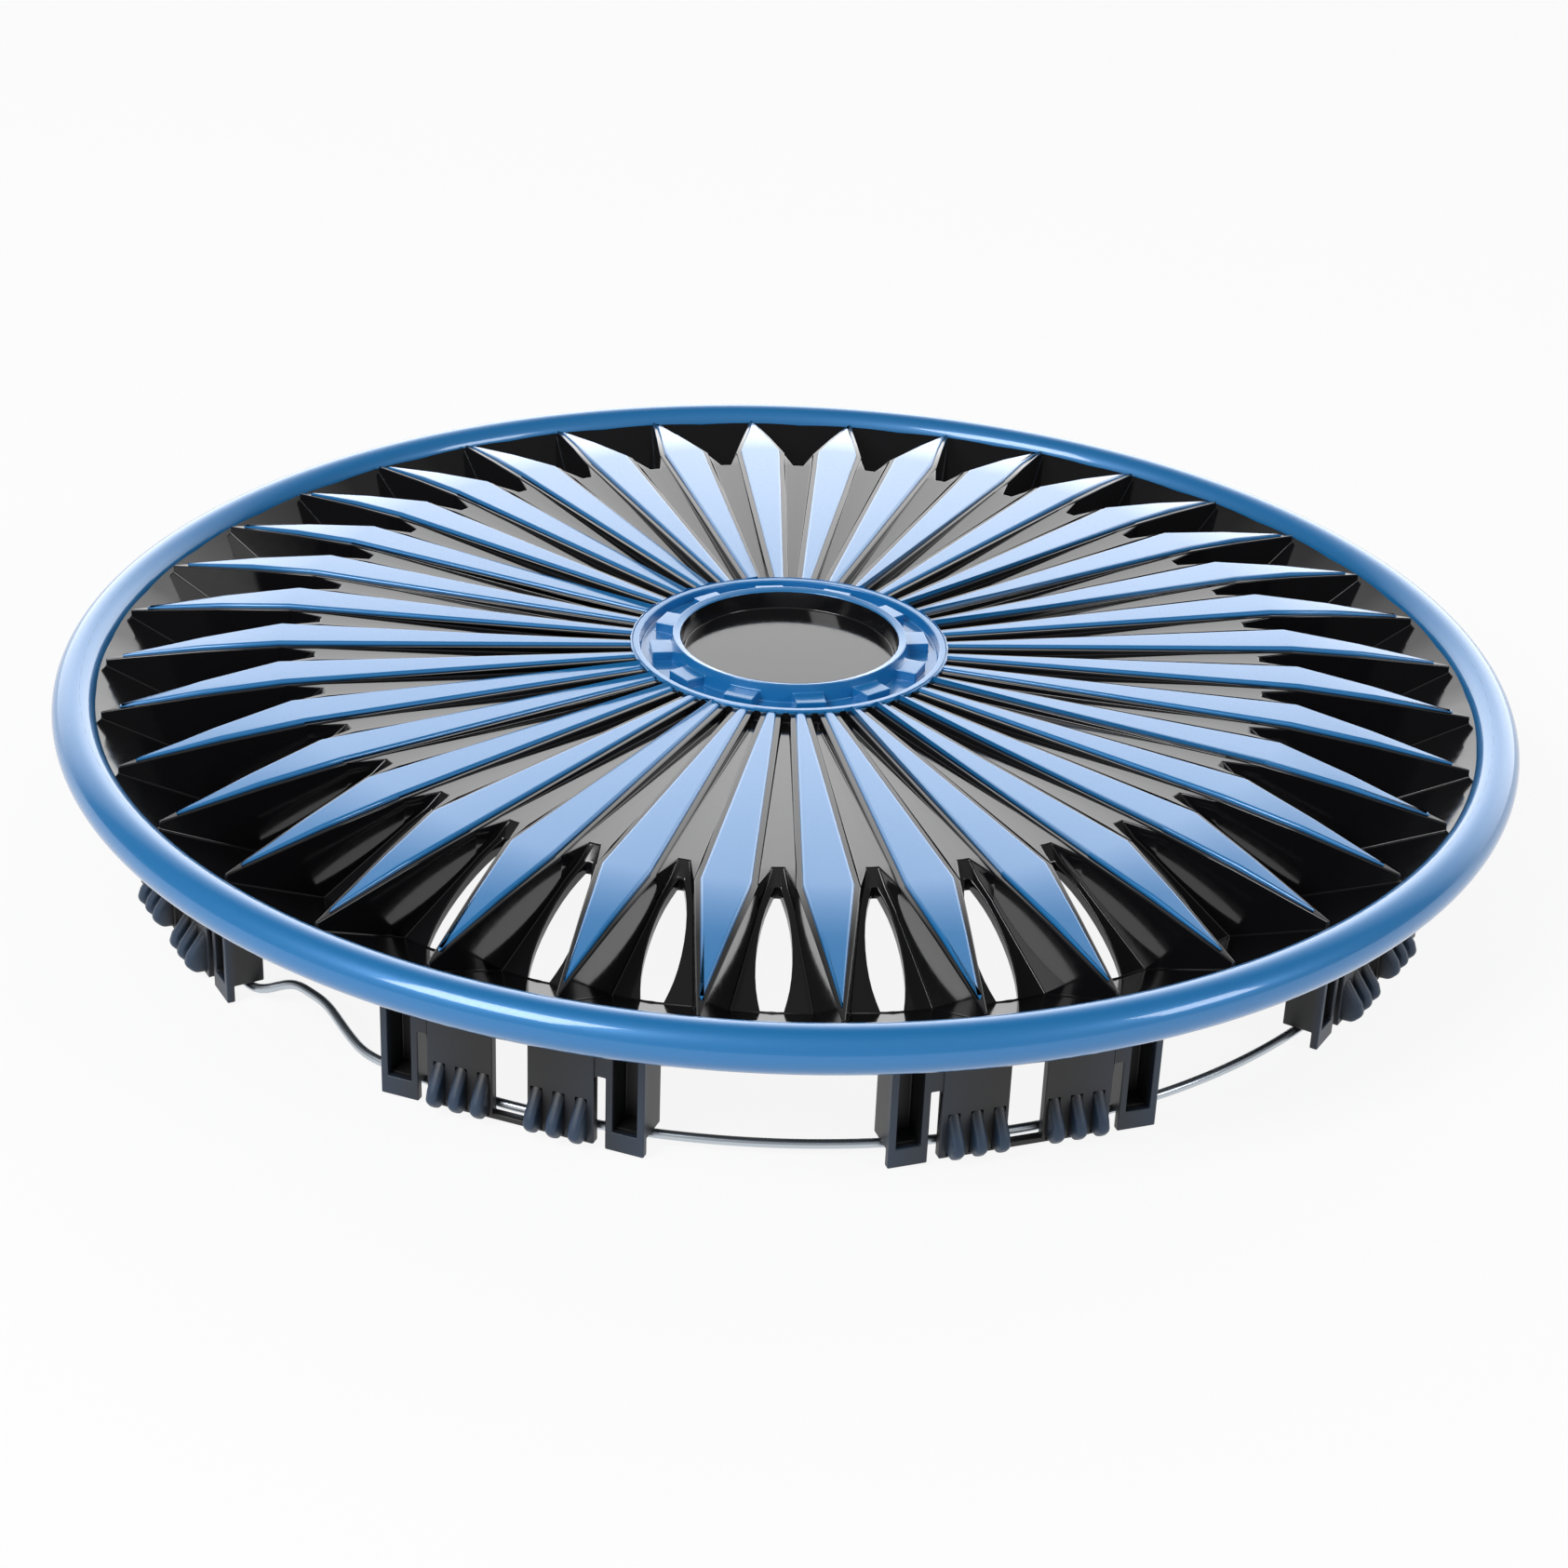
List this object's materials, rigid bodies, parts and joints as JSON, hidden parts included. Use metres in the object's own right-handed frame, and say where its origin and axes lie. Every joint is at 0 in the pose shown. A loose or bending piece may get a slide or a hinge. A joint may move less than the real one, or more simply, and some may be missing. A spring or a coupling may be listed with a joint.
{
  "type": "wheel cover",
  "caption": "Clip-on plastic wheel cover with blue painted spokes between vented valleys, a rolled rim, a plain hub disc and ribbed clips behind that hold a spring wire ring.",
  "frame": {"origin": "on the wheel's axis, at the plane of the lowest clip feet", "axes": "+Z along the wheel's axis towards the show face; one spoke lies on +Y"},
  "size_m": [0.388, 0.388, 0.0524],
  "materials": {
    "cover_plastic": "gloss",
    "ring_steel": "satin"
  },
  "bodies": {
    "root": {"wheel_cover": "cover_plastic", "retention_ring": "ring_steel"}
  },
  "joints": []
}
